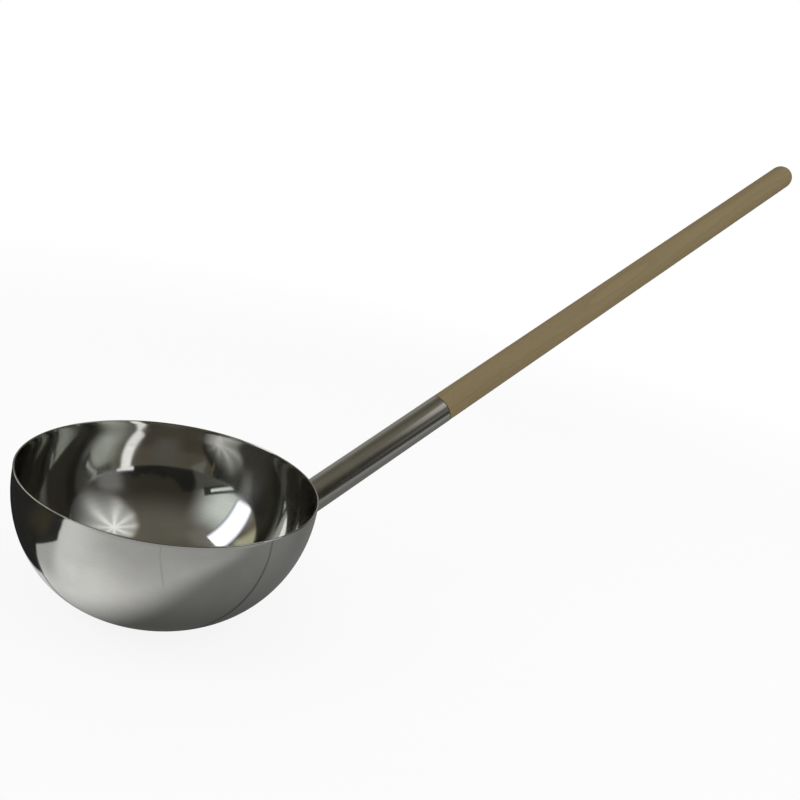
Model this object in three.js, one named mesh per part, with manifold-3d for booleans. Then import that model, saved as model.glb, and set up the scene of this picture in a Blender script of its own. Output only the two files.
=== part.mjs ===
// A long-handled sauna ladle: a spun stainless bowl, a steel tube welded to its side as the handle's socket,
// and a round wooden handle whose turned-down end sits in the tube and is held there by one screw from below.
// Millimetres, +Z up. The origin is the middle of the flat base that the bowl stands on, the rim is level,
// and the handle rises in the XZ plane towards +X.

import * as THREE from "three";
import { mergeVertices, toCreasedNormals } from "three/addons/utils/BufferGeometryUtils.js";
import Module from "manifold-3d";

const wasm = await Module();
wasm.setup();

// Driving dimensions of the bowl
const RIM_DIAMETER = 160; // over the rim
const BOWL_DEPTH = 74.5; // from the rim's top edge to the face it stands on
const BASE_DIAMETER = 40; // flat left by the spinning block
const RIM_BAND = 6; // straight, upright stretch of wall under the rim
const SHEET = 1; // wall of the bowl

// Driving dimensions of the socket tube and its weld
const TUBE_DIAMETER = 20;
const TUBE_WALL = 1;
const TUBE_CHAMFER = 0.3; // on the outer edge of the open end
const TUBE_LENGTH = 134; // along its axis, from the bowl's wall to the open end
const TUBE_ANGLE = 33; // degrees that the tube and the handle rise above the rim's plane
const TUBE_BITE = 3; // how far its underside runs inside the bowl's belly, measured square to the tube
const WELD_WIDTH = 3.6; // diameter of the bead laid round the joint

// Driving dimensions of the wooden handle
const HANDLE_STEP = 0.1; // how far the tube stands proud of the wood, all round
const HANDLE_LENGTH = 415; // the part that shows, from the tube's end to the tip
const TIP_LENGTH = 8; // of the rounded tip
const TENON_LENGTH = 55; // turned down to go into the tube
const SHOULDER_ROUND = 0.6;
const TENON_CHAMFER = 2;

// Driving dimensions of the screw that keeps the handle in the tube
const SCREW_SETBACK = 24; // from the tube's open end
const SCREW_SHANK = 2.5;
const SCREW_LENGTH = 12; // under the head
const SCREW_POINT = 3.5; // length of the tapered point
const SCREW_HEAD = 5;
const SCREW_HEAD_HEIGHT = 1.5;
const SCREW_HEAD_EDGE = 0.4; // upright edge of the head, under its dome
const RECESS_LENGTH = 3; // the cross in the head
const RECESS_WIDTH = 0.8;
const RECESS_DEPTH = 0.9;

// Clearance between pieces that seat on or in each other
const FIT_GAP = 0.3;

// Facets
const BOWL_SIDES = 64;
const TUBE_SIDES = 48;
const SCREW_SIDES = 24;
const WALL_STEPS = 12;
const RIM_STEPS = 6;
const TIP_STEPS = 7;
const CORNER_STEPS = 3;
const WELD_STEPS = 72;
const WELD_SIDES = 12;
const SEAM_HALVINGS = 30;
const CREASE = THREE.MathUtils.degToRad(35);
const SAME_POINT = 1e-4; // points closer than this are one point

const steel = new THREE.MeshStandardMaterial({ color: 0xa9a8a2, metalness: 1, roughness: 0.12 });
const satinSteel = new THREE.MeshStandardMaterial({ color: 0xa3a19a, metalness: 1, roughness: 0.3 });
const weldSteel = new THREE.MeshStandardMaterial({ color: 0x98948a, metalness: 1, roughness: 0.4 });
const wood = new THREE.MeshStandardMaterial({ color: 0x827355, metalness: 0, roughness: 0.65 });

// Solids

function solidFrom(geometry) {
  const bare = geometry.clone();
  bare.deleteAttribute("normal");
  bare.deleteAttribute("uv");
  const merged = mergeVertices(bare, SAME_POINT);
  return new wasm.Manifold(
    new wasm.Mesh({
      numProp: 3,
      vertProperties: new Float32Array(merged.attributes.position.array),
      triVerts: new Uint32Array(merged.index.array),
    }),
  );
}

function geometryFrom(solid) {
  const { vertProperties, triVerts } = solid.getMesh();
  const geometry = new THREE.BufferGeometry();
  geometry.setAttribute("position", new THREE.BufferAttribute(vertProperties, 3));
  geometry.setIndex(new THREE.BufferAttribute(triVerts, 1));
  return toCreasedNormals(geometry, CREASE);
}

const at = (radius, height) => new THREE.Vector2(radius, height);

// Turns a profile of (radius, height) points round +Z.
function revolve(profile, sides) {
  return new THREE.LatheGeometry(profile, sides).rotateX(Math.PI / 2);
}

// Strings curves and points together into one profile, leaving out points that coincide.
function profileOf(...runs) {
  const points = runs.flat();
  return points.filter((p, i) => i === 0 || p.distanceTo(points[i - 1]) > SAME_POINT);
}

// A plain round rod about +Z, from one height to another.
function rodAlong(radius, bottom, top, sides) {
  return revolve([at(0, bottom), at(radius, bottom), at(radius, top), at(0, top)], sides);
}

// A quarter turn, or any stretch, of an ellipse, between two angles in degrees.
function arc(centre, halfWidth, halfHeight, from, to, steps) {
  const [start, end] = [from, to].map(THREE.MathUtils.degToRad);
  const curve = new THREE.EllipseCurve(centre.x, centre.y, halfWidth, halfHeight, start, end, to < from);
  return curve.getPoints(steps);
}

function named(name, geometry, material) {
  const mesh = new THREE.Mesh(geometry, material);
  mesh.name = name;
  return mesh;
}

// Bowl: the wall is a quarter ellipse from the flat base up to the straight band under the rim.

const rimRadius = RIM_DIAMETER / 2;
const baseRadius = BASE_DIAMETER / 2;
const wallWidth = rimRadius - baseRadius; // half axes of the ellipse
const wallHeight = BOWL_DEPTH - RIM_BAND;
const wallCentre = at(baseRadius, wallHeight);

// The wall's curve from the base to the band, moved out from the bowl's own face by `offset`.
function wallCurve(offset) {
  return arc(wallCentre, wallWidth + offset, wallHeight + offset, 270, 360, WALL_STEPS);
}

// The point of the bowl's outside that lies `turn` radians round the ellipse, down from the band.
function wallPoint(turn) {
  return at(baseRadius + wallWidth * Math.cos(turn), wallHeight * (1 - Math.sin(turn)));
}

function bowlGeometry() {
  const edge = SHEET / 2;
  const outside = wallCurve(0);
  const rim = arc(at(rimRadius - edge, BOWL_DEPTH - edge), edge, edge, 0, 180, RIM_STEPS);
  const inside = wallCurve(-SHEET).reverse();
  return revolve(profileOf(at(0, 0), outside, rim, inside, at(0, SHEET)), BOWL_SIDES);
}

// The bowl as a solid block, grown by `offset`, for cutting what is fitted to its outside.
function bowlBlock(offset) {
  const topEdge = at(rimRadius + offset, BOWL_DEPTH);
  return revolve(profileOf(at(0, -offset), wallCurve(offset), topEdge, at(0, BOWL_DEPTH)), BOWL_SIDES);
}

function insideBowl(radius, height) {
  if (height >= wallHeight) return radius < rimRadius;
  if (radius <= baseRadius) return height > 0;
  return Math.hypot((radius - baseRadius) / wallWidth, (wallHeight - height) / wallHeight) < 1;
}

// Handle line: a frame whose origin is where the handle's axis meets the bowl's wall, whose +Z runs out along
// the axis, and whose +X points down, to the underside of the handle.

const tubeRadius = TUBE_DIAMETER / 2;
const boreRadius = tubeRadius - TUBE_WALL;
const rise = THREE.MathUtils.degToRad(TUBE_ANGLE);
const along = at(Math.cos(rise), Math.sin(rise));

// The belly is the point of the wall that reaches farthest square to the handle line, on its underside.
const bellyReach = Math.hypot(wallWidth * Math.sin(rise), wallHeight * Math.cos(rise));
const bellyTurn = Math.atan2(wallHeight * Math.cos(rise), wallWidth * Math.sin(rise));
const undersideShare = (bellyReach - TUBE_BITE) / bellyReach;
const axisShare = undersideShare - tubeRadius / bellyReach;
const axisFoot = wallPoint(bellyTurn - Math.acos(axisShare));

const handleLine = new THREE.Group();
handleLine.position.set(axisFoot.x, 0, axisFoot.y);
handleLine.rotation.y = Math.PI / 2 - rise;
handleLine.updateMatrix();
const intoHandleLine = handleLine.matrix.clone().invert();

// A place along the handle line that is well inside the bowl, all round the tube: the middle of the stretch
// that the tube's underside runs inside the belly.
const insideStart = wallCentre.clone().lerp(wallPoint(bellyTurn), undersideShare).sub(axisFoot).dot(along);

// Where the tube's outside meets the bowl's wall, at `angle` round the tube.
function seamPoint(angle) {
  const point = new THREE.Vector3();
  let [inner, outer] = [insideStart, TUBE_LENGTH];
  for (let i = 0; i < SEAM_HALVINGS; i++) {
    const middle = (inner + outer) / 2;
    point.set(tubeRadius * Math.cos(angle), tubeRadius * Math.sin(angle), middle);
    point.applyMatrix4(handleLine.matrix);
    if (insideBowl(Math.hypot(point.x, point.y), point.z)) inner = middle;
    else outer = middle;
  }
  return point;
}

// Socket tube: its lower end is coped to the bowl's wall, and it is drilled from below for the screw.

function socketTubeGeometry() {
  const profile = [
    at(boreRadius, insideStart),
    at(tubeRadius, insideStart),
    at(tubeRadius, TUBE_LENGTH - TUBE_CHAMFER),
    at(tubeRadius - TUBE_CHAMFER, TUBE_LENGTH),
    at(boreRadius, TUBE_LENGTH),
    at(boreRadius, insideStart),
  ];
  const plainTube = solidFrom(revolve(profile, TUBE_SIDES));
  const cope = solidFrom(bowlBlock(FIT_GAP).applyMatrix4(intoHandleLine));
  return geometryFrom(plainTube.subtract(cope).subtract(solidFrom(screwHole())));
}

// Weld bead: a round bead laid along the seam, less the tube and the bowl that it is melted on to.

function weldBeadGeometry() {
  const seam = [];
  for (let i = 0; i < WELD_STEPS; i++) seam.push(seamPoint((2 * Math.PI * i) / WELD_STEPS));
  const path = new THREE.CatmullRomCurve3(seam, true);
  const bead = new THREE.TubeGeometry(path, WELD_STEPS, WELD_WIDTH / 2, WELD_SIDES, true);
  const tubeRun = rodAlong(tubeRadius + FIT_GAP, insideStart, TUBE_LENGTH, TUBE_SIDES);
  const tubeSolid = solidFrom(tubeRun.applyMatrix4(handleLine.matrix));
  return geometryFrom(solidFrom(bead).subtract(tubeSolid).subtract(solidFrom(bowlBlock(FIT_GAP))));
}

// Wooden handle: a turned rod with a tenon for the tube, a shoulder against the tube's end and a rounded tip.

function woodenHandleGeometry() {
  const handleRadius = tubeRadius - HANDLE_STEP;
  const tenonRadius = boreRadius - FIT_GAP;
  const shoulder = TUBE_LENGTH + FIT_GAP;
  const tenonEnd = TUBE_LENGTH - TENON_LENGTH;
  const tipStart = TUBE_LENGTH + HANDLE_LENGTH - TIP_LENGTH;
  const shoulderCentre = at(handleRadius - SHOULDER_ROUND, shoulder + SHOULDER_ROUND);
  const profile = profileOf(
    at(0, tenonEnd),
    at(tenonRadius - TENON_CHAMFER, tenonEnd),
    at(tenonRadius, tenonEnd + TENON_CHAMFER),
    at(tenonRadius, shoulder),
    arc(shoulderCentre, SHOULDER_ROUND, SHOULDER_ROUND, 270, 360, CORNER_STEPS),
    arc(at(0, tipStart), handleRadius, TIP_LENGTH, 0, 90, TIP_STEPS),
  );
  return geometryFrom(solidFrom(revolve(profile, TUBE_SIDES)).subtract(solidFrom(screwHole())));
}

// Fixing screw: a round-headed wood screw from below, through the tube's wall into the tenon.

// The screw is turned about +Z with its head up, then laid so that its head points to +X, the underside.
function underHandle(geometry) {
  return geometry.rotateY(Math.PI / 2).translate(tubeRadius + FIT_GAP, 0, TUBE_LENGTH - SCREW_SETBACK);
}

function screwHole() {
  return underHandle(rodAlong(SCREW_SHANK / 2 + FIT_GAP, -SCREW_LENGTH - FIT_GAP, TUBE_WALL, SCREW_SIDES));
}

function fixingScrewGeometry() {
  const shankRadius = SCREW_SHANK / 2;
  const headRadius = SCREW_HEAD / 2;
  const profile = profileOf(
    at(0, -SCREW_LENGTH),
    at(shankRadius, -SCREW_LENGTH + SCREW_POINT),
    at(shankRadius, 0),
    at(headRadius, 0),
    arc(at(0, SCREW_HEAD_EDGE), headRadius, SCREW_HEAD_HEIGHT - SCREW_HEAD_EDGE, 0, 90, CORNER_STEPS + 1),
  );
  const bar = new THREE.BoxGeometry(RECESS_LENGTH, RECESS_WIDTH, 2 * RECESS_DEPTH);
  bar.translate(0, 0, SCREW_HEAD_HEIGHT);
  const cross = solidFrom(bar).add(solidFrom(bar.clone().rotateZ(Math.PI / 2)));
  return underHandle(geometryFrom(solidFrom(revolve(profile, SCREW_SIDES)).subtract(cross)));
}

// Assembly

const ladle = new THREE.Group();
ladle.name = "sauna_ladle";
ladle.add(named("bowl", bowlGeometry(), steel));
ladle.add(named("weld_bead", weldBeadGeometry(), weldSteel));
handleLine.add(named("socket_tube", socketTubeGeometry(), satinSteel));
handleLine.add(named("wooden_handle", woodenHandleGeometry(), wood));
handleLine.add(named("fixing_screw", fixingScrewGeometry(), satinSteel));
ladle.add(handleLine);

export default ladle;
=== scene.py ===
# A sauna ladle in the order in which it is put together: the spun bowl, the tube set on its side, the weld
# between them, the wooden handle driven into the tube, and the screw that keeps it there. Then the studio.
# Metres, +Z up. The origin is the middle of the flat that the bowl stands on. The handle rises towards +X.

import math

import bmesh
import bpy
from mathutils import Matrix, Vector


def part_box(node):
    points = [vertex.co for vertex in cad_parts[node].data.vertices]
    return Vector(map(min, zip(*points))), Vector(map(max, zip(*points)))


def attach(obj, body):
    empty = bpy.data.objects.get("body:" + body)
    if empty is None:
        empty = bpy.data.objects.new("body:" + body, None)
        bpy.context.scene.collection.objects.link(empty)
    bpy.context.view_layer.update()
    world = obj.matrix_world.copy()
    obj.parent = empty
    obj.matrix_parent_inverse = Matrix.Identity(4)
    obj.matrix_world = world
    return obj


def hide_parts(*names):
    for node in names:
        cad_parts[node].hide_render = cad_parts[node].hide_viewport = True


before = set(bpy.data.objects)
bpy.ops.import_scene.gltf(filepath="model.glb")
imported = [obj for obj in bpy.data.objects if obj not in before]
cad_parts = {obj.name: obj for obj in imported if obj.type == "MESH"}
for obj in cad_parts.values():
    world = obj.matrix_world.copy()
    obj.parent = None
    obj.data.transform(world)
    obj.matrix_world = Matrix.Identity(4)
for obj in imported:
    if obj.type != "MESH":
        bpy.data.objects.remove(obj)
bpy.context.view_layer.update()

# Camera: above the bowl and to the left of the handle, close enough for the bowl to look large, and turned
# about its own line of sight so that the handle climbs to the right.
camera_place = Vector((-0.19916, -0.37263, 0.25605))
camera_target = Vector((0.09166, -0.06083, 0.14180))
camera_turn = math.radians(14.435)

camera_data = bpy.data.cameras.new("camera")
camera_data.lens = 36.56
camera_data.sensor_width = 36.0
camera_data.clip_start = 0.01
sight = (camera_target - camera_place).normalized()
level_right = sight.cross(Vector((0, 0, 1))).normalized()
camera_right = Matrix.Rotation(-camera_turn, 3, sight) @ level_right
camera_axes = Matrix((camera_right, camera_right.cross(sight), -sight)).transposed().to_4x4()
camera = bpy.data.objects.new("camera", camera_data)
camera.matrix_world = Matrix.Translation(camera_place) @ camera_axes
bpy.context.scene.collection.objects.link(camera)
bpy.context.scene.camera = camera

# Bowl: one deep, round bowl spun from stainless sheet. It has a flat left by the spinning block, a wall that
# rises in a quarter ellipse, and an upright band under a cut edge that is rounded over. It is polished round
# and round on the lathe, inside and out, to a mirror with faint rings in it.
bowl_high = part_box("bowl")[1]
rim_radius = bowl_high.x
bowl_depth = bowl_high.z
base_radius = 0.020
rim_band = 0.006
bowl_sheet = 0.001
bowl_sides = 224
dent_height = 0.00002
dent_length = 0.060


class Wire:
    """An output of a node. Sums and products of wires add the Math nodes that work them out."""

    def __init__(self, tree, socket=None):
        self.tree = tree
        self.socket = socket

    def node(self, kind, settings, values, output=None):
        """Adds a node: its settings first, then the values or wires of its inputs, by socket identifier."""
        made = self.tree.nodes.new(kind)
        for name, setting in settings.items():
            if name == "stops":
                fill_ramp(made.color_ramp, setting)
            else:
                setattr(made, name, setting)
        inputs = {socket.identifier: socket for socket in made.inputs}
        for name, value in values.items():
            if isinstance(value, Wire):
                self.tree.links.new(value.socket, inputs[name])
            else:
                inputs[name].default_value = value
        if not made.outputs:
            return None
        outputs = {socket.identifier: socket for socket in made.outputs}
        return Wire(self.tree, outputs[output] if output else made.outputs[0])

    def other(self, output):
        """Another output of the node that this wire comes from."""
        outputs = {socket.identifier: socket for socket in self.socket.node.outputs}
        return Wire(self.tree, outputs[output])

    def math(self, operation, first, second=0.0):
        return self.node("ShaderNodeMath", {"operation": operation}, {"Value": first, "Value_001": second})

    def clamped(self):
        return self.node("ShaderNodeClamp", {}, {"Value": self})

    def __add__(self, other):
        return self.math("ADD", self, other)

    def __sub__(self, other):
        return self.math("SUBTRACT", self, other)

    def __rsub__(self, other):
        return self.math("SUBTRACT", other, self)

    def __mul__(self, other):
        return self.math("MULTIPLY", self, other)

    def __truediv__(self, other):
        return self.math("DIVIDE", self, other)

    def __rtruediv__(self, other):
        return self.math("DIVIDE", other, self)

    def __pow__(self, other):
        return self.math("POWER", self, other)

    __radd__ = __add__
    __rmul__ = __mul__


def fill_ramp(ramp, stops):
    """Gives a colour ramp its stops, each a place from 0 to 1 and a colour."""
    while len(ramp.elements) < len(stops):
        ramp.elements.new(1.0)
    for element, (place, colour) in zip(ramp.elements, stops):
        element.position = place
        element.color = (*colour, 1.0)


def blank_material(name):
    """A material with no nodes yet, and a wire to add the first one from."""
    material = bpy.data.materials.new(name)
    material.use_nodes = True
    material.node_tree.nodes.clear()
    return material, Wire(material.node_tree)


def noise(place, scale=1.0, detail=2.0, roughness=0.5):
    """Smooth noise from 0 to 1 at a place."""
    values = {"Vector": place, "Scale": scale, "Detail": detail, "Roughness": roughness}
    return place.node("ShaderNodeTexNoise", {}, values)


def mixed(share, first, second):
    """A colour between two others, each of them given or carried by a wire."""
    ends = [colour if isinstance(colour, Wire) else (*colour, 1.0) for colour in (first, second)]
    values = {"Factor_Float": share, "A_Color": ends[0], "B_Color": ends[1]}
    return share.node("ShaderNodeMix", {"data_type": "RGBA"}, values, "Result_Color")


def between(value, low, high):
    """0 below one value, 1 above the other, and a smooth step from one to the other."""
    settings = {"interpolation_type": "SMOOTHSTEP"}
    return value.node("ShaderNodeMapRange", settings, {"Value": value, "From Min": low, "From Max": high})


def vector_of(x, y, z):
    wire = next(value for value in (x, y, z) if isinstance(value, Wire))
    return wire.node("ShaderNodeCombineXYZ", {}, {"X": x, "Y": y, "Z": z})


def parts_of(place):
    """The x, y and z of a vector."""
    x = place.node("ShaderNodeSeparateXYZ", {}, {"Vector": place})
    return x, x.other("Y"), x.other("Z")


def object_place(start):
    """Where each point of a surface lies, in its object's own frame."""
    return start.node("ShaderNodeTexCoord", {}, {}, "Object")


def surfaced(shader):
    """Ends a material's nodes with this shader."""
    shader.node("ShaderNodeOutputMaterial", {}, {"Surface": shader})


bowl_steel, start = blank_material("bowl_steel")
place = object_place(start)
x, y, z = parts_of(place)
radius = (x * x + y * y) ** 0.5
slope = radius.math("ARCTAN2", radius, bowl_depth - z)
off_axis = radius + 0.00001
east = x / off_axis
north = y / off_axis
fine_rings = noise(vector_of(east * 2.0, north * 2.0, slope * 620.0), detail=3.0)
broad_rings = noise(vector_of(east * 1.3, north * 1.3, slope * 70.0), detail=3.0)
smears = between(noise(place, 26.0, 5.0, 0.6), 0.42, 0.72)
wiped = between(noise(vector_of(east * 3.0, north * 3.0, slope * 5.0), detail=4.0, roughness=0.6), 0.45, 0.7)
on_flat = 1.0 - between(radius, base_radius * 0.8, base_radius * 1.2)
rings = start.node("ShaderNodeBump", {}, {
    "Strength": 0.035, "Distance": 0.0001, "Height": fine_rings * 0.5 + broad_rings,
})
steel_colour = mixed(smears, (0.61, 0.61, 0.585), (0.555, 0.55, 0.52))
mirror = start.node("ShaderNodeBsdfPrincipled", {}, {
    "Base Color": steel_colour,
    "Metallic": 1.0,
    "Roughness": 0.035 + smears * 0.03 + wiped * 0.02 + broad_rings * 0.02 + on_flat * 0.05,
    "Anisotropic": 0.6,
    "Anisotropic Rotation": 0.25,
    "Normal": rings,
})
haze = start.node("ShaderNodeBsdfPrincipled", {}, {
    "Base Color": steel_colour,
    "Metallic": 1.0,
    "Roughness": 0.24 + broad_rings * 0.06,
    "Anisotropic": 1.0,
    "Anisotropic Rotation": 0.25,
    "Normal": rings,
})
haze_share = 0.08 + smears * 0.03 + wiped * 0.05
polish = start.node("ShaderNodeMixShader", {}, {"Fac": haze_share, "Shader": mirror, "Shader_001": haze})
surfaced(polish)


def shaping_tree(name, inputs):
    """An empty Geometry Nodes tree with named inputs, and a wire from each of them."""
    tree = bpy.data.node_groups.new(name, "GeometryNodeTree")
    tree.is_modifier = True
    tree.interface.new_socket("Geometry", in_out="OUTPUT", socket_type="NodeSocketGeometry")
    for label, kind in inputs.items():
        tree.interface.new_socket(label, in_out="INPUT", socket_type="NodeSocket" + kind)
    source = tree.nodes.new("NodeGroupInput")
    return {label: Wire(tree, source.outputs[label]) for label in inputs}


def finished(piece):
    """Turns what a piece's modifiers make of it into its own plain mesh."""
    result = bpy.data.meshes.new_from_object(piece.evaluated_get(bpy.context.evaluated_depsgraph_get()))
    piece.modifiers.clear()
    piece.data = result
    return piece


def linked(name, mesh):
    """A new object in the scene with this mesh."""
    piece = bpy.data.objects.new(name, mesh)
    bpy.context.scene.collection.objects.link(piece)
    return piece


def shaped(name, sizes, mesh=None):
    """The object that the tree of the same name makes with these sizes, as a plain mesh."""
    tree = bpy.data.node_groups[name]
    piece = linked(name, mesh or bpy.data.meshes.new(name))
    modifier = piece.modifiers.new(name, "NODES")
    modifier.node_group = tree
    for socket in tree.interface.items_tree:
        if socket.in_out == "INPUT" and socket.name in sizes:
            modifier[socket.identifier] = sizes[socket.name]
    return finished(piece)


def realized(geometry, material):
    """The end of every tree: real geometry, shaded smooth, with its material."""
    real = geometry.node("GeometryNodeRealizeInstances", {}, {"Geometry": geometry})
    smooth = real.node("GeometryNodeSetShadeSmooth", {}, {"Geometry": real})
    done = smooth.node("GeometryNodeSetMaterial", {}, {"Geometry": smooth, "Material": material})
    done.node("NodeGroupOutput", {}, {done.tree.interface.items_tree["Geometry"].identifier: done})


def position(geometry):
    """Where each point of a geometry lies."""
    return geometry.node("GeometryNodeInputPosition", {}, {})


# The bowl's section runs up the outside, over the edge and down the inside, one ring of the grid at a time.
flat_rings = 8
wall_rings = 72
band_rings = 3
edge_rings = 10
climb_rings = flat_rings + wall_rings + band_rings
all_rings = 2 * climb_rings + edge_rings

size = shaping_tree("spun_bowl", {
    "Rim Radius": "Float", "Depth": "Float", "Base Radius": "Float", "Rim Band": "Float", "Sheet": "Float",
    "Sides": "Int", "Dent Height": "Float", "Dent Length": "Float", "Material": "Material",
})
grid = size["Sides"].node("GeometryNodeMeshGrid", {}, {
    "Size X": float(all_rings), "Size Y": 1.0, "Vertices X": all_rings + 1, "Vertices Y": size["Sides"] + 1,
})
across, around = parts_of(position(grid))[:2]
ring = across + all_rings / 2
turn = (0.5 - around) * math.tau
climb = ring.math("MINIMUM", ring, all_rings - ring)
flat_share = (climb / flat_rings).clamped()
wall_turn = ((climb - flat_rings) / wall_rings).clamped() * (math.pi / 2)
band_share = ((climb - flat_rings - wall_rings) / band_rings).clamped()
edge_turn = ((ring - climb_rings) / edge_rings).clamped() * math.pi
half_sheet = size["Sheet"] / 2
outward = half_sheet * turn.math("COSINE", edge_turn)
lift = half_sheet * turn.math("SINE", edge_turn)
floor_height = half_sheet - outward
wall_width = size["Rim Radius"] - size["Base Radius"] - half_sheet + outward
wall_height = size["Depth"] - size["Rim Band"] - floor_height
wall_sine = turn.math("SINE", wall_turn)
reach = size["Base Radius"] * flat_share + wall_width * wall_sine
height = floor_height + wall_height * (1.0 - turn.math("COSINE", wall_turn))
height = height + (size["Rim Band"] - half_sheet) * band_share + lift
cosine = turn.math("COSINE", turn)
sine = turn.math("SINE", turn)
dents = noise(vector_of(reach * cosine, reach * sine, height), 1.0 / size["Dent Length"], 1.0)
reach = reach - dents * size["Dent Height"] * wall_sine * (1.0 - band_share)
spun = grid.node("GeometryNodeSetPosition", {}, {
    "Geometry": grid, "Position": vector_of(reach * cosine, reach * sine, height),
})
closed = spun.node("GeometryNodeMergeByDistance", {}, {"Geometry": spun, "Distance": 0.000001})
realized(closed, size["Material"])

bowl = shaped("spun_bowl", {
    "Rim Radius": rim_radius, "Depth": bowl_depth, "Base Radius": base_radius, "Rim Band": rim_band,
    "Sheet": bowl_sheet, "Sides": bowl_sides, "Dent Height": dent_height, "Dent Length": dent_length,
    "Material": bowl_steel,
})
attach(bowl, "root")
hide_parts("bowl")

# Socket tube: a straight length of drawn stainless tube, polished along its length. Its lower end is coped to
# sit on the bowl's round wall, its open end has a broken edge, and it is drilled from below for the screw.
tube_radius = 0.010
bore_radius = 0.009
tube_length = 0.134
tube_chamfer = 0.0003
tube_rise = math.radians(33)
tube_bite = 0.003
tube_sides = 96
screw_setback = 0.024
screw_height = tube_length - screw_setback
hole_radius = 0.00155
hole_lead = 0.005
hole_depth = 0.016
hole_sides = 24
hole_margin = 0.0035
seam_search_share = 0.7
seam_halvings = 40
crease = math.radians(35)

# The handle line starts where the tube's axis meets the bowl's wall. Its +Z runs out along the handle, and
# its +X points down to the handle's underside. The tube's underside runs inside the belly by the bite. The
# search for the seam starts inside the belly, a share of the way back along the tube.
belly_width = rim_radius - base_radius
belly_height = bowl_depth - rim_band
belly_reach = math.hypot(belly_width * math.sin(tube_rise), belly_height * math.cos(tube_rise))
belly_turn = math.atan2(belly_height * math.cos(tube_rise), belly_width * math.sin(tube_rise))
foot_turn = belly_turn - math.acos((belly_reach - tube_bite - tube_radius) / belly_reach)
foot_height = belly_height * (1 - math.sin(foot_turn))
tube_foot = Vector((base_radius + belly_width * math.cos(foot_turn), 0, foot_height))
handle_line = Matrix.Translation(tube_foot) @ Matrix.Rotation(math.pi / 2 - tube_rise, 4, "Y")
seam_start = -belly_reach * math.sin(belly_turn - foot_turn) * seam_search_share


def inside_bowl(point):
    """Whether a point is inside the bowl's outer face."""
    reach = math.hypot(point.x, point.y)
    if point.z >= belly_height:
        return reach < rim_radius
    if reach <= base_radius:
        return point.z > 0
    return math.hypot((reach - base_radius) / belly_width, 1 - point.z / belly_height) < 1


def on_tube(radius, angle, height):
    """A point in the handle line's own frame, so far out, so far round and so far along."""
    return Vector((radius * math.cos(angle), radius * math.sin(angle), height))


def seam_height(radius, angle):
    """How far along the handle line a straight line on the tube meets the bowl's outside."""
    inner, outer = seam_start, tube_length
    for _ in range(seam_halvings):
        middle = (inner + outer) / 2
        if inside_bowl(handle_line @ on_tube(radius, angle, middle)):
            inner = middle
        else:
            outer = middle
    return outer


def angles(count):
    return [math.tau * step / count for step in range(count)]


def ring_of(radius, height, sides):
    """A ring of points round +Z. A ring of no radius is one point."""
    if radius == 0:
        return [Vector((0, 0, height))]
    return [on_tube(radius, angle, height) for angle in angles(sides)]


def mesh_of(name, shell):
    """A mesh made from a working one, which is then let go."""
    mesh = bpy.data.meshes.new(name)
    shell.to_mesh(mesh)
    shell.free()
    return mesh


def skin(name, rings, place, closed=False):
    """A skin over rings of points, each joined to the next, and the last to the first if it is closed."""
    shell = bmesh.new()
    loops = [[shell.verts.new(place @ point) for point in ring] for ring in rings]
    pairs = list(zip(loops, loops[1:]))
    if closed:
        pairs.append((loops[-1], loops[0]))
    for low, high in pairs:
        for step in range(max(len(low), len(high))):
            after = step + 1
            corners = [low[step % len(low)], low[after % len(low)]]
            corners += [high[after % len(high)], high[step % len(high)]]
            shell.faces.new(dict.fromkeys(corners))
    bmesh.ops.recalc_face_normals(shell, faces=shell.faces)
    return linked(name, mesh_of(name, shell))


def cut(piece, cutter):
    """Cuts one piece out of another, and throws the cutter away."""
    modifier = piece.modifiers.new("cut", "BOOLEAN")
    modifier.object = cutter
    modifier.operation = "DIFFERENCE"
    finished(piece)
    bpy.data.objects.remove(cutter)


def creased(piece):
    """Shades a piece smooth between its sharp edges."""
    piece.data.shade_smooth()
    piece.data.set_sharp_from_angle(angle=crease)


def dressed(piece, material):
    """Shades a piece and gives it its material."""
    creased(piece)
    piece.data.materials.clear()
    piece.data.materials.append(material)


def screw_hole():
    """The hole that the screw passes through, from outside the tube's underside up into the handle."""
    section = [(0, -hole_lead), (hole_radius, -hole_lead), (hole_radius, hole_depth), (0, hole_depth)]
    upward = Matrix.Translation((tube_radius, 0, screw_height)) @ Matrix.Rotation(-math.pi / 2, 4, "Y")
    return skin("screw_hole", [ring_of(*point, hole_sides) for point in section], handle_line @ upward)


tube_steel, start = blank_material("tube_steel")
place = object_place(start)
x, y, z = parts_of(place)
along_tube = {"Location": tube_foot, "Rotation": (0, -tube_rise, 0)}
local = start.node("ShaderNodeMapping", {"vector_type": "TEXTURE"}, {"Vector": place, **along_tube})
along, side, over = parts_of(local)
drawn = noise(vector_of(along * 14.0, side * 3200.0, over * 3200.0), detail=3.0)
bands = noise(vector_of(along * 6.0, side * 420.0, over * 420.0), detail=2.0)
smears = between(noise(local, 60.0, 4.0, 0.6), 0.45, 0.72)
out_share = ((x * x + y * y) ** 0.5 - base_radius) / belly_width
down_share = 1.0 - z / belly_height
belly_share = (out_share ** 2.0 + down_share ** 2.0) ** 0.5
from_bowl = (belly_share - 1.0) * belly_width
heat = 1.0 - between(from_bowl, 0.001, 0.007)
lines = start.node("ShaderNodeBump", {}, {
    "Strength": 0.15, "Distance": 0.0001, "Height": drawn * 0.6 + bands,
})
polish = start.node("ShaderNodeBsdfPrincipled", {}, {
    "Base Color": mixed(heat * 0.6, (0.585, 0.575, 0.53), (0.46, 0.37, 0.24)),
    "Metallic": 1.0,
    "Roughness": 0.17 + drawn * 0.06 + smears * 0.05 + heat * 0.08,
    "Normal": lines,
})
surfaced(polish)


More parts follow.
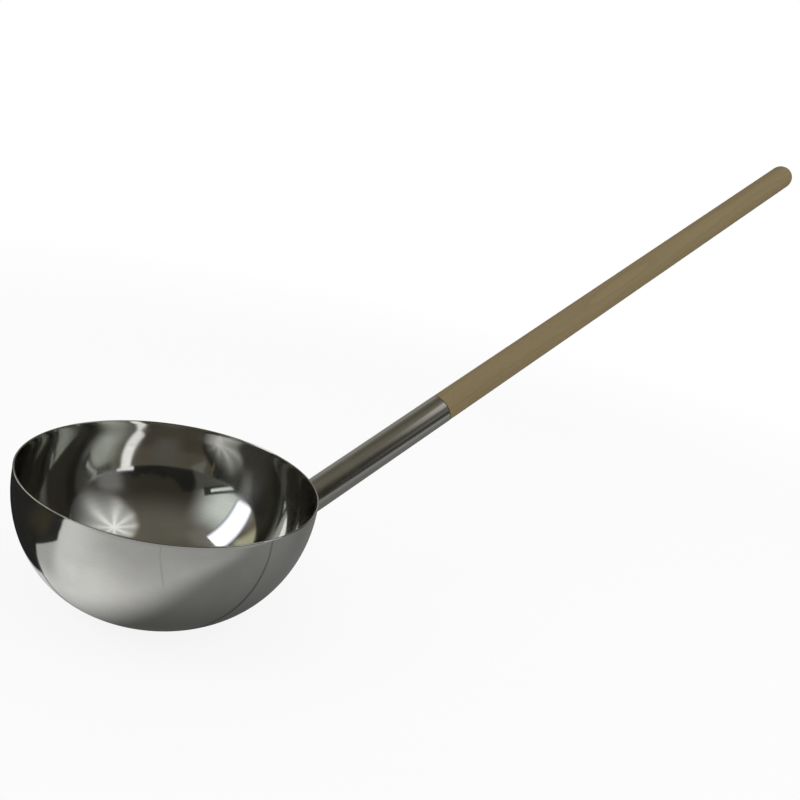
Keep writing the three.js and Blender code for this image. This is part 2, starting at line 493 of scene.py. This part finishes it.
def coped_ring(radius):
    """The end of the tube's inner or outer face that meets the bowl's wall."""
    return [on_tube(radius, angle, seam_height(radius, angle)) for angle in angles(tube_sides)]


straight_heights = [screw_height - hole_margin, screw_height + hole_margin]
outer_rings = [ring_of(tube_radius, height, tube_sides) for height in straight_heights]
inner_rings = [ring_of(bore_radius, height, tube_sides) for height in reversed(straight_heights)]
tube_end = [
    ring_of(tube_radius, tube_length - tube_chamfer, tube_sides),
    ring_of(tube_radius - tube_chamfer, tube_length, tube_sides),
    ring_of(bore_radius, tube_length, tube_sides),
]
tube_rings = [coped_ring(tube_radius), *outer_rings, *tube_end, *inner_rings, coped_ring(bore_radius)]
tube = skin("coped_tube", tube_rings, handle_line, closed=True)
cut(tube, screw_hole())
dressed(tube, tube_steel)
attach(tube, "root")
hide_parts("socket_tube")

# Weld bead: one run of weld laid round the foot of the tube by hand, melted on to the tube and the bowl. It
# is a row of overlapping crescents, brushed clean, with a little of the heat's colour left along its edges.
bead_width = 0.0036
melt_depth = 0.0004
bead_rings = 960
bead_sides = 16
ripple_length = 0.0011
ripple_height = 0.00016
ripple_bend = 0.9
seam_points = 180

weld_steel, start = blank_material("weld_steel")
place = object_place(start)
crown = start.node("ShaderNodeAttribute", {"attribute_name": "crown"}, {}, "Fac")
grain = noise(place, 1800.0, 3.0, 0.6)
tint = start.node("ShaderNodeValToRGB", {"stops": [
    (0.0, (0.20, 0.19, 0.22)), (0.3, (0.30, 0.23, 0.17)),
    (0.55, (0.46, 0.40, 0.29)), (0.85, (0.54, 0.52, 0.47)),
]}, {"Fac": crown * 0.9 + grain * 0.1})
pits = start.node("ShaderNodeBump", {}, {"Strength": 0.3, "Distance": 0.0001, "Height": grain})
bead_face = start.node("ShaderNodeBsdfPrincipled", {}, {
    "Base Color": tint, "Metallic": 1.0, "Roughness": 0.42 - crown * 0.14 + grain * 0.1, "Normal": pits,
})
surfaced(bead_face)

size = shaping_tree("weld_ripples", {
    "Seam": "Geometry", "Width": "Float", "Melt Depth": "Float", "Rings": "Int", "Sides": "Int",
    "Ripple Length": "Float", "Ripple Height": "Float", "Ripple Bend": "Float", "Material": "Material",
})


def stored(geometry, name, value, kind="FLOAT"):
    """Keeps a value on the points of a curve or mesh under a name."""
    values = {"Geometry": geometry, "Name": name, "Value": value}
    return geometry.node("GeometryNodeStoreNamedAttribute", {"data_type": kind, "domain": "POINT"}, values)


def kept(wire, name, kind="FLOAT"):
    """A value that was kept under a name."""
    return wire.node("GeometryNodeInputNamedAttribute", {"data_type": kind}, {"Name": name})


def vector_math(operation, first, second):
    output = "Value" if operation == "DOT_PRODUCT" else "Vector"
    values = {"Vector": first, "Vector_001": second}
    return first.node("ShaderNodeVectorMath", {"operation": operation}, values, output)


def scaled(vector, factor):
    return vector.node("ShaderNodeVectorMath", {"operation": "SCALE"}, {"Vector": vector, "Scale": factor})


path = size["Seam"].node("GeometryNodeMeshToCurve", {}, {"Mesh": size["Seam"]})
path = path.node("GeometryNodeResampleCurve", {}, {"Curve": path, "Count": size["Rings"]})
path = stored(path, "along", path.node("GeometryNodeSplineParameter", {}, {}, "Length"))
path = stored(path, "spine", position(path), "FLOAT_VECTOR")
half_bead = size["Width"] / 2
section = path.node("GeometryNodeCurvePrimitiveCircle", {}, {
    "Resolution": size["Sides"], "Radius": half_bead,
})
bead = path.node("GeometryNodeCurveToMesh", {}, {"Curve": path, "Profile Curve": section})
spine = kept(bead, "spine", "FLOAT_VECTOR")
from_spine = vector_math("SUBTRACT", position(bead), spine)
crown = vector_math("DOT_PRODUCT", from_spine, kept(bead, "crest", "FLOAT_VECTOR")) / half_bead
bead = stored(bead, "crown", crown)
phase = kept(bead, "along") / size["Ripple Length"] + crown * crown * size["Ripple Bend"]
wobble = noise(position(bead), 420.0)
uneven = phase + wobble * 0.8
saw = uneven.math("FRACT", uneven)
ripple = (saw.math("SINE", saw ** 0.6 * math.pi) - 0.5 + wobble) * size["Ripple Height"]
outward = bead.node("GeometryNodeInputNormal", {}, {})
bead = bead.node("GeometryNodeSetPosition", {}, {"Geometry": bead, "Offset": scaled(outward, ripple)})
for face in ("off_bowl", "off_tube"):
    away = kept(bead, face, "FLOAT_VECTOR")
    from_spine = vector_math("SUBTRACT", position(bead), spine)
    depth = 0.0 - vector_math("DOT_PRODUCT", from_spine, away)
    too_deep = depth.math("MAXIMUM", depth - size["Melt Depth"], 0.0)
    bead = bead.node("GeometryNodeSetPosition", {}, {"Geometry": bead, "Offset": scaled(away, too_deep)})
realized(bead, size["Material"])

# At each point the seam carries the ways straight off the bowl and off the tube, and the one between them.
seam = bmesh.new()
layers = {name: seam.verts.layers.float_vector.new(name) for name in ("off_bowl", "off_tube", "crest")}
for angle in angles(seam_points):
    spot = seam.verts.new(handle_line @ on_tube(tube_radius, angle, seam_height(tube_radius, angle)))
    off_tube = handle_line.to_3x3() @ on_tube(1, angle, 0)
    wall_place = math.hypot(spot.co.x, spot.co.y) - base_radius
    off_bowl = Vector((spot.co.x, spot.co.y, 0)).normalized() * (wall_place / belly_width ** 2)
    off_bowl.z = (spot.co.z - belly_height) / belly_height ** 2
    off_bowl.normalize()
    spot[layers["off_bowl"]] = off_bowl
    spot[layers["off_tube"]] = off_tube
    spot[layers["crest"]] = (off_tube + off_bowl).normalized()
seam.verts.ensure_lookup_table()
for step in range(seam_points):
    seam.edges.new((seam.verts[step], seam.verts[(step + 1) % seam_points]))

weld = shaped("weld_ripples", {
    "Width": bead_width, "Melt Depth": melt_depth, "Rings": bead_rings, "Sides": bead_sides,
    "Ripple Length": ripple_length, "Ripple Height": ripple_height, "Ripple Bend": ripple_bend,
    "Material": weld_steel,
}, mesh_of("seam", seam))
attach(weld, "root")
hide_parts("weld_bead")

# Wooden handle: one round hardwood rod, turned down at its lower end to a tenon that is driven into the tube
# up to the shoulder, and rounded over at its tip. Sanded along the grain and oiled matt, it is a dull brown.
handle_step = 0.0001
handle_length = 0.4149
tip_length = 0.008
tenon_length = 0.055
tenon_gap = 0.0003
tenon_chamfer = 0.002
shoulder_round = 0.0006
corner_steps = 5
tip_steps = 18
pith_aside = 0.021
pith_below = 0.034
year_width = 0.0024

handle_wood, start = blank_material("handle_wood")
place = object_place(start)
local = start.node("ShaderNodeMapping", {"vector_type": "TEXTURE"}, {"Vector": place, **along_tube})
along, side, over = parts_of(local)
sway = noise(vector_of(along * 5.0, side * 22.0, over * 22.0), detail=2.0)
pith_side = side - pith_aside
pith_over = over + pith_below
from_pith = (pith_side * pith_side + pith_over * pith_over) ** 0.5
year = from_pith / year_width + sway * 3.2
late_wood = year.math("FRACT", year) ** 2.6
fibres = noise(vector_of(along * 26.0, side * 1150.0, over * 1150.0), detail=4.0, roughness=0.6)
streaks = noise(vector_of(along * 7.0, side * 190.0, over * 190.0), detail=3.0)
pores = between(noise(vector_of(along * 150.0, side * 2400.0, over * 2400.0), detail=1.0), 0.66, 0.74)
clouds = noise(vector_of(along * 9.0, side * 14.0, over * 14.0), detail=2.0)
depth = (late_wood * 0.28 + fibres * 0.42 + streaks * 0.34 + clouds * 0.20 + pores * 0.25 - 0.22).clamped()
wood_colour = start.node("ShaderNodeValToRGB", {"stops": [
    (0.0, (0.272, 0.208, 0.102)), (0.5, (0.231, 0.175, 0.084)), (1.0, (0.170, 0.125, 0.057)),
]}, {"Fac": depth})
grain = start.node("ShaderNodeBump", {}, {
    "Strength": 0.25, "Distance": 0.0002, "Height": fibres * 0.6 - pores * 0.5 - late_wood * 0.2,
})
oiled = start.node("ShaderNodeBsdfPrincipled", {}, {
    "Base Color": wood_colour, "Roughness": 0.58 + fibres * 0.14, "Specular IOR Level": 0.35, "Normal": grain,
})
surfaced(oiled)


def arc(out, up, half_width, half_height, first, last, steps):
    """Points (radius, height) on an ellipse with its middle so far out and up, between angles in degrees."""
    turns = [math.radians(first + (last - first) * step / steps) for step in range(steps + 1)]
    return [(out + half_width * math.cos(turn), up + half_height * math.sin(turn)) for turn in turns]


handle_radius = tube_radius - handle_step
tenon_radius = bore_radius - tenon_gap
tenon_end = tube_length - tenon_length
shoulder = tube_length + tenon_gap
tip_start = tube_length + handle_length - tip_length
rounded = (handle_radius - shoulder_round, shoulder + shoulder_round, shoulder_round, shoulder_round)
handle_profile = [
    (0, tenon_end),
    (tenon_radius - tenon_chamfer, tenon_end),
    (tenon_radius, tenon_end + tenon_chamfer),
    *[(tenon_radius, height) for height in straight_heights],
    (tenon_radius, shoulder),
    *arc(*rounded, 270, 360, corner_steps),
    *arc(0, tip_start, handle_radius, tip_length, 0, 90, tip_steps)[:-1],
    (0, tip_start + tip_length),
]
handle = skin("turned_handle", [ring_of(*point, tube_sides) for point in handle_profile], handle_line)
cut(handle, screw_hole())
dressed(handle, handle_wood)
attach(handle, "root")
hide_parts("wooden_handle")

# Fixing screw: one stainless wood screw with a round head and a cross recess, driven from below through the
# tube's wall into the tenon, so that the handle can't pull out of the tube.
shank_radius = 0.00125
shank_length = 0.012
neck_length = 0.002
point_length = 0.0035
point_bare = 0.0021
head_radius = 0.0025
head_height = 0.0015
head_edge = 0.0004
head_gap = 0.0003
head_steps = 12
recess_length = 0.003
recess_width = 0.0008
recess_depth = 0.0009
recess_floor_length = 0.00165
recess_floor_width = 0.00056
screw_sides = 48
thread_pitch = 0.0011
thread_radius = 0.0003

screw_steel, start = blank_material("screw_steel")
place = object_place(start)
turned = noise(place, 2600.0, 3.0, 0.6)
stain = between(noise(place, 700.0, 3.0), 0.4, 0.7)
marks = start.node("ShaderNodeBump", {}, {"Strength": 0.2, "Distance": 0.0001, "Height": turned})
plain_steel = start.node("ShaderNodeBsdfPrincipled", {}, {
    "Base Color": mixed(stain, (0.57, 0.56, 0.53), (0.46, 0.45, 0.42)),
    "Metallic": 1.0,
    "Roughness": 0.24 + turned * 0.12 + stain * 0.06,
    "Normal": marks,
})
surfaced(plain_steel)

size = shaping_tree("threaded_screw", {
    "Screw": "Geometry", "Radius": "Float", "Length": "Float", "Start": "Float", "Turns": "Float",
    "Ridge": "Float", "Material": "Material",
})
helix = size["Screw"].node("GeometryNodeCurveSpiral", {}, {
    "Resolution": 32, "Rotations": size["Turns"], "Height": size["Length"],
    "Start Radius": size["Radius"], "End Radius": size["Radius"],
})
ridge = helix.node("GeometryNodeCurvePrimitiveCircle", {}, {"Resolution": 3, "Radius": size["Ridge"]})
thread = helix.node("GeometryNodeCurveToMesh", {}, {
    "Curve": helix, "Profile Curve": ridge, "Fill Caps": True,
})
lowered = vector_of(0.0, 0.0, size["Start"])
thread = thread.node("GeometryNodeTransform", {}, {"Geometry": thread, "Translation": lowered})
both = thread.node("GeometryNodeJoinGeometry", {}, {"Geometry": thread})
both.tree.links.new(size["Screw"].socket, both.socket.node.inputs["Geometry"])
realized(both, size["Material"])

screw_profile = [
    (0, -shank_length),
    (shank_radius, point_length - shank_length),
    (shank_radius, 0),
    (head_radius, 0),
    *arc(0, head_edge, head_radius, head_height - head_edge, 0, 90, head_steps)[:-1],
    (0, head_height),
]


def rectangle(length, width, height):
    """The corners of a level rectangle round +Z."""
    signs = ((1, 1), (-1, 1), (-1, -1), (1, -1))
    return [Vector((along * length / 2, across * width / 2, height)) for along, across in signs]


def middle_of(corners):
    """The middle of some corners, as a ring of one point."""
    return [sum(corners, Vector()) / len(corners)]


recess_floor = rectangle(recess_floor_length, recess_floor_width, head_height - recess_depth)
recess_mouth = rectangle(recess_length, recess_width, head_height)
recess_top = rectangle(recess_length, recess_width, head_height + recess_depth)
recess = [middle_of(recess_floor), recess_floor, recess_mouth, recess_top, middle_of(recess_top)]
blank = skin("screw_blank", [ring_of(*point, screw_sides) for point in screw_profile], Matrix())
for quarter in (0, math.pi / 2):
    cut(blank, skin("slot_bar", recess, Matrix.Rotation(quarter, 4, "Z")))
creased(blank)
thread_start = shank_length - point_bare
thread_length = thread_start - neck_length
screw = shaped("threaded_screw", {
    "Radius": shank_radius, "Length": thread_length, "Start": -thread_start, "Ridge": thread_radius,
    "Turns": thread_length / thread_pitch, "Material": screw_steel,
}, blank.data)
bpy.data.objects.remove(blank)
under_tube = Matrix.Translation((tube_radius + head_gap, 0, screw_height))
screw.data.transform(handle_line @ under_tube @ Matrix.Rotation(math.pi / 2, 4, "Y"))
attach(screw, "root")
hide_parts("fixing_screw")

# Studio: a pale floor under the bowl and a white surround. Round them stands a dark tent that only
# reflections see, so that the polished steel shows dark as well as light, with a tall soft lamp on the left
# and a ribbed round one on the right.
floor_reach = 6.0
ladle_middle = 0.2
floor_paint, start = blank_material("floor_paint")


def seen_directly(start):
    """1 for rays from the camera, and for those that mirrors and glass pass on."""
    rays = start.node("ShaderNodeLightPath", {}, {}, "Is Camera Ray")
    seen = rays.math("MAXIMUM", rays, rays.other("Is Glossy Ray"))
    return rays.math("MAXIMUM", seen, rays.other("Is Transmission Ray"))


def glow_of(start, colour, strength=1.0):
    """A surface that shines by itself."""
    shown = colour if isinstance(colour, Wire) else (*colour, 1.0)
    return start.node("ShaderNodeEmission", {}, {"Color": shown, "Strength": strength})


def covered(share, under, over):
    """One shader laid over another."""
    return share.node("ShaderNodeMixShader", {}, {"Fac": share, "Shader": under, "Shader_001": over})


x, y = parts_of(object_place(start))[:2]
along = x - ladle_middle
from_ladle = (along * along + y * y) ** 0.5
white_share = 0.88 + between(from_ladle, 0.45, 1.3) * 0.12
matt = start.node("ShaderNodeBsdfDiffuse", {}, {"Color": (0.9, 0.9, 0.9, 1.0)})
surfaced(covered(seen_directly(start) * white_share, matt, glow_of(start, (1.0, 1.0, 1.0))))


def staged(name, mesh, material):
    """A stage piece, which isn't part of the ladle."""
    mesh.materials.append(material)
    piece = linked(name, mesh)
    return piece


def flat_mesh(name, low_x, low_y, high_x, high_y, height):
    """A level rectangle."""
    mesh = bpy.data.meshes.new(name)
    corners = [(low_x, low_y), (high_x, low_y), (high_x, high_y), (low_x, high_y)]
    mesh.from_pydata([(*corner, height) for corner in corners], [], [range(len(corners))])
    return mesh


def only_reflected(piece):
    """Hides a stage piece from the camera and from everything but reflections."""
    piece.visible_camera = False
    piece.visible_diffuse = False
    piece.visible_transmission = False
    piece.visible_volume_scatter = False
    piece.visible_shadow = False


staged("floor", flat_mesh("floor", -floor_reach, -floor_reach, floor_reach, floor_reach, 0.0), floor_paint)


def turned_between(angle, low, high):
    """The same smooth step, between two angles in degrees."""
    return between(angle, math.radians(low), math.radians(high))


# The tent is grey above and nearly black below an uneven hem, and warmer behind the ladle than before it. On
# it are patches that the steel shows: a yellowish and a bright one beside the tall lamp, grey ones in front,
# behind and overhead, dim ones low on the left, and above those a light bar in a dark frame.
tent_radius = 3.0
tent_cloth, start = blank_material("tent_cloth")
x, y, z = parts_of(object_place(start))
bearing = x.math("ARCTAN2", y, x)
lift = x.math("ARCSINE", z / tent_radius)
raised = turned_between(bearing, -158, -140) * (1.0 - turned_between(bearing, -128, -112))
ragged = (noise(vector_of(bearing * 5.0, 0.0, 0.0), detail=4.0) - 0.5) * 0.4
hem = math.radians(20) + raised * math.radians(10) + ragged
above_hem = between(lift - hem, -0.02, 0.02)
behind = between(y / tent_radius, -0.1, 0.25)
ceiling = mixed(turned_between(lift, 30, 68), (0.042, 0.037, 0.028), (0.168, 0.158, 0.128))
front_cloth = mixed(above_hem, (0.016, 0.016, 0.014), ceiling)
back_cloth = mixed(turned_between(lift, 28, 40), (0.200, 0.172, 0.132), (0.125, 0.108, 0.082))


def heading(azimuth, elevation):
    """A direction from the bowl, in degrees."""
    bearing = math.radians(azimuth)
    lift = math.radians(elevation)
    return Vector((math.cos(bearing) * math.cos(lift), math.sin(bearing) * math.cos(lift), math.sin(lift)))


def patch(azimuth, elevation, width, height, softness, tilt=0):
    """1 inside a patch on the tent and 0 outside. Its place, size, soft edge and tilt are in degrees."""
    turn = math.radians(tilt)
    ahead = heading(azimuth, 0)
    aside = x.math("ARCTAN2", y * ahead.x - x * ahead.y, x * ahead.x + y * ahead.y)
    aside = aside * math.cos(math.radians(elevation))
    above = lift - math.radians(elevation)
    along = aside * math.cos(turn) + above * math.sin(turn)
    across = above * math.cos(turn) - aside * math.sin(turn)
    inside = 1.0
    for offset, length in ((along, width), (across, height)):
        reach = x.math("ABSOLUTE", offset)
        inside = inside * (1.0 - turned_between(reach, length / 2 - softness, length / 2 + softness))
    return inside


cloth = mixed(behind, front_cloth, back_cloth)
cloth = mixed(patch(137, 30, 12, 26, 4), cloth, (0.62, 0.62, 0.42))
cloth = mixed(patch(-174, 31, 36, 38, 15) * 0.9, cloth, (0.92, 0.98, 0.92))
cloth = mixed(patch(-60, 20, 20, 22, 6), cloth, (0.21, 0.21, 0.21))
cloth = mixed(patch(84, 26, 40, 60, 16), cloth, (0.20, 0.192, 0.168))
cloth = mixed(patch(165, 64, 20, 16, 6), cloth, (0.225, 0.215, 0.19))
cloth = mixed(patch(-157, 8, 44, 18, 2, 31), cloth, (0.09, 0.092, 0.08))
cloth = mixed(patch(-180, 9, 36, 15, 2), cloth, (0.10, 0.10, 0.09))
cloth = mixed(patch(-163, 18.5, 32, 8, 0.8, 31), cloth, (0.03, 0.035, 0.03))
cloth = mixed(patch(-165, 17.5, 24, 2.6, 0.5, 31), cloth, (0.95, 1.0, 0.95))
surfaced(glow_of(start, cloth))
dome = bmesh.new()
bmesh.ops.create_uvsphere(dome, u_segments=64, v_segments=32, radius=tent_radius)
only_reflected(staged("tent", mesh_of("tent", dome), tent_cloth))


def shown_where(share, shader):
    """A surface that shows only as far as its share, and is clear where that is 0."""
    return covered(share, share.node("ShaderNodeBsdfTransparent", {}, {}), shader)


# A dark card with frayed edges lies on the floor to the left of the bowl and behind it. A grey one lies under
# the whole ladle with light and shade painted on it: the ladle's painted shadow, where the card is darkest,
# painted shade close to the base, and painted shade along two fold lines across it.
dark_card_paint, start = blank_material("dark_card_paint")
place = object_place(start)
x, y = parts_of(place)[:2]
frayed = noise(place, 30.0, 2.0) * 0.004 - 0.002
near_side = between(y + frayed, -0.009, -0.003)
near_side = near_side * (1.0 - between(x - y * 1.12 + frayed, -0.146, -0.141))
far_side = between(y + x * 0.4 + frayed, -0.019, -0.014)
far_side = far_side * (1.0 - between(x - y * 0.31 + frayed, -0.081, -0.075))
covers = far_side.math("MAXIMUM", far_side, near_side)
band = between(x, -0.26, -0.19) * (1.0 - between(x, -0.16, -0.12)) * between(y, 0.008, 0.03)
mottle = band * (0.35 + noise(place, 24.0, 3.0) * 0.65) * (1.0 - between(y, 0.05, 0.10))
dark = glow_of(start, mixed(mottle, (0.016, 0.015, 0.018), (0.085, 0.072, 0.036)))
surfaced(shown_where(covers, dark))
only_reflected(staged("dark_card", flat_mesh("dark_card", -0.9, -0.3, -0.04, 0.9, 0.0004), dark_card_paint))

shade_start = 0.13
shade_middle = -0.02
crease_shade_core = 0.0010
crease_shade_edge = 0.0034
grey_card_paint, start = blank_material("grey_card_paint")
x, y = parts_of(object_place(start))[:2]
left_of = x.math("MINIMUM", x - shade_start, 0.0)
off_middle = y.math("MAXIMUM", (y - shade_middle) * 0.6, shade_middle - y)
from_shade = (left_of * left_of + off_middle * off_middle) ** 0.5
# The ladle's cast shadow, painted on the card.
in_shade = 1.0 - between(from_shade, 0.160, 0.205)
near_base = 1.0 - between((x * x + y * y) ** 0.5, 0.045, 0.095)
open_light = 0.41 + between(y, -0.24, -0.10) * 0.16 + between(y, -0.13, -0.03) * 0.29
near_light = between(x, -0.125, -0.095) * between(y, -0.10, -0.06) * (1.0 - between(y, -0.03, -0.005))
open_light = open_light + near_light * 0.13
shade_light = 0.13 + between(x - y * 0.5, 0.05, 0.16) * 0.05 + between(0.0 - y, 0.05, 0.13) * 0.06
# Painted shade close to the bowl's base.
shade_light = shade_light - near_base * 0.06
light = open_light + (shade_light - open_light) * in_shade
light = light * (0.15 + between(y, -0.52, -0.24) * 0.85)
left_shade = (1.0 - between(x, -0.10, -0.06)) * between(y, -0.015, 0.005)
light = light * (1.0 - left_shade * 0.35)
# Painted shade along two thin fold lines.
long_crease_shade = 1.0 - between(x.math("ABSOLUTE", y + x * 0.77 + 0.0418), crease_shade_core, crease_shade_edge)
short_crease_shade = 1.0 - between(x.math("ABSOLUTE", y - x * 1.49 + 0.0379), crease_shade_core, crease_shade_edge)
short_crease_shade = short_crease_shade * (1.0 - between(y, -0.12, -0.09))
light = light * (1.0 - long_crease_shade * 0.65)
light = light * (1.0 - short_crease_shade * 0.2)
surfaced(shown_where(1.0 - light, glow_of(start, (0.03, 0.03, 0.026))))
grey_mesh = flat_mesh("grey_card", -0.9, -floor_reach, floor_reach, 1.5, 0.0007)
only_reflected(staged("grey_card", grey_mesh, grey_card_paint))


def standing_card(name, edges, colour, place):
    """A small card that shines evenly, and that only reflections see."""
    paint, start = blank_material(name + "_paint")
    surfaced(glow_of(start, colour))
    card = staged(name, flat_mesh(name, *edges), paint)
    card.matrix_world = place
    only_reflected(card)


# A small white card stands just in front of the rim, so that the bowl shows a thin light line at the edge of
# its round bottom. A pale one stands behind the tube and leans along with it, and lights its upper side.
upright = Matrix.Rotation(math.pi / 2, 4, "X")
leaning = Matrix.Translation(tube_foot) @ Matrix.Rotation(-tube_rise, 4, "Y") @ upright
standing_card("white_card", (0.033, 0.074, 0.070, 0.088, 0.100), (1.2, 1.2, 1.25), upright)
standing_card("pale_card", (0.012, 0.003, 0.166, 0.046, -0.045), (0.31, 0.312, 0.30), leaning)


def stood(place, back):
    """A frame at a place, upright, with its +Z to the back."""
    return Matrix.Translation(place) @ back.to_track_quat("Z", "Y").to_matrix().to_4x4()


def soft_lamp(name, place, width, height, colour, radiance):
    """A soft lamp towards its -Z, as bright as a face of this radiance. The lamp itself isn't seen."""
    data = bpy.data.lights.new(name, "AREA")
    data.shape = "RECTANGLE"
    data.size = width
    data.size_y = height
    data.color = colour
    data.energy = radiance * math.pi * width * height
    lamp = bpy.data.objects.new(name, data)
    lamp.matrix_world = place
    lamp.visible_camera = False
    lamp.visible_glossy = False
    bpy.context.scene.collection.objects.link(lamp)


tall_lamp_way = heading(163, 37)
tall_lamp_place = stood(tall_lamp_way * 1.2, tall_lamp_way)
soft_lamp("tall_lamp", tall_lamp_place, 0.50, 0.88, (0.93, 0.96, 1.0), 2.0)

# What the steel shows of the tall lamp is a wedge of cloth that starts narrow behind the rim on the left, and
# leans up and away from the bowl as it widens. Its sides are soft.
strip_foot = Vector((-0.0928, 0.0524, 0.0791))
strip_top = Vector((-0.910, 0.568, 1.743))
strip_back = heading(172.9, -27.7)
foot_half_width = 0.0177
top_half_width = 0.304
core_share = 0.65
edge_share = 1.35
strip_length = (strip_top - strip_foot).length
strip_up = (strip_top - strip_foot) / strip_length
strip_cloth, start = blank_material("strip_cloth")
x, y = parts_of(object_place(start))[:2]
half_width = foot_half_width + y * ((top_half_width - foot_half_width) / strip_length)
core = 1.0 - between(x.math("ABSOLUTE", x) / half_width, core_share, edge_share)
core = core * between(y, 0.0, 0.02)
bright = glow_of(start, mixed(core, (0.66, 0.75, 1.0), (1.0, 1.0, 1.0)), core * 2.2)
surfaced(shown_where(between(core, 0.0, 0.35), bright))
strip_edge = top_half_width * edge_share
strip_mesh = flat_mesh("strip_cloth", -strip_edge, 0.0, strip_edge, strip_length, 0.0)
strip = staged("strip_cloth", strip_mesh, strip_cloth)
strip_axes = Matrix((strip_up.cross(strip_back), strip_up, strip_back)).transposed().to_4x4()
strip.matrix_world = Matrix.Translation(strip_foot) @ strip_axes
only_reflected(strip)

# The round lamp's cloth is stretched over ribs that run out from its hub.
round_lamp_radius = 0.42
round_lamp_place = heading(-12.2, 52.6) * 0.675
round_lamp_back = heading(-44.5, 20.0)
hub_x = -0.11
hub_y = 0.07
rib_count = 8
round_cloth, start = blank_material("round_cloth")
x, y = parts_of(object_place(start))[:2]
hub_aside = x - hub_x
hub_above = y - hub_y
hub_reach = (hub_aside * hub_aside + hub_above * hub_above) ** 0.5
hub_turn = x.math("ARCTAN2", hub_above, hub_aside)
rib = x.math("ABSOLUTE", x.math("COSINE", hub_turn * (rib_count / 2))) ** 3.0
hub_glow = 1.0 - between(hub_reach, 0.0, 0.09)
fading = 1.0 - between(hub_reach, 0.02, 0.50)
from_edge = round_lamp_radius - (x * x + y * y) ** 0.5
strength = fading * (0.80 + rib * 0.55) + hub_glow * 0.35
strength = strength * (1.0 - between(x, -0.13, 0.17) * 0.7)
lamp_colour = mixed(between(from_edge, 0.0, 0.12), (1.0, 0.92, 0.80), (1.0, 1.0, 0.99))
surfaced(shown_where(between(from_edge, 0.0, 0.10), glow_of(start, lamp_colour, strength)))
disc = bmesh.new()
bmesh.ops.create_circle(disc, cap_ends=True, segments=48, radius=round_lamp_radius)
round_piece = staged("round_lamp_cloth", mesh_of("round_lamp_cloth", disc), round_cloth)
round_piece.matrix_world = stood(round_lamp_place, round_lamp_back)
only_reflected(round_piece)
round_lamp_way = heading(-48, 43)
soft_lamp("round_lamp", stood(round_lamp_way, round_lamp_way), 0.9, 0.9, (1.0, 0.99, 0.98), 0.8)

# The surround is white where it is seen, and lights matt faces a little less.
world = bpy.data.worlds.new("surround")
world.use_nodes = True
world.node_tree.nodes.clear()
start = Wire(world.node_tree)
ambient = 0.62
surround = start.node("ShaderNodeBackground", {}, {
    "Color": (1.0, 1.0, 1.0, 1.0), "Strength": ambient + seen_directly(start) * (1.0 - ambient),
})
start.node("ShaderNodeOutputWorld", {}, {"Surface": surround})
bpy.context.scene.world = world
bpy.context.scene.view_settings.view_transform = "Standard"
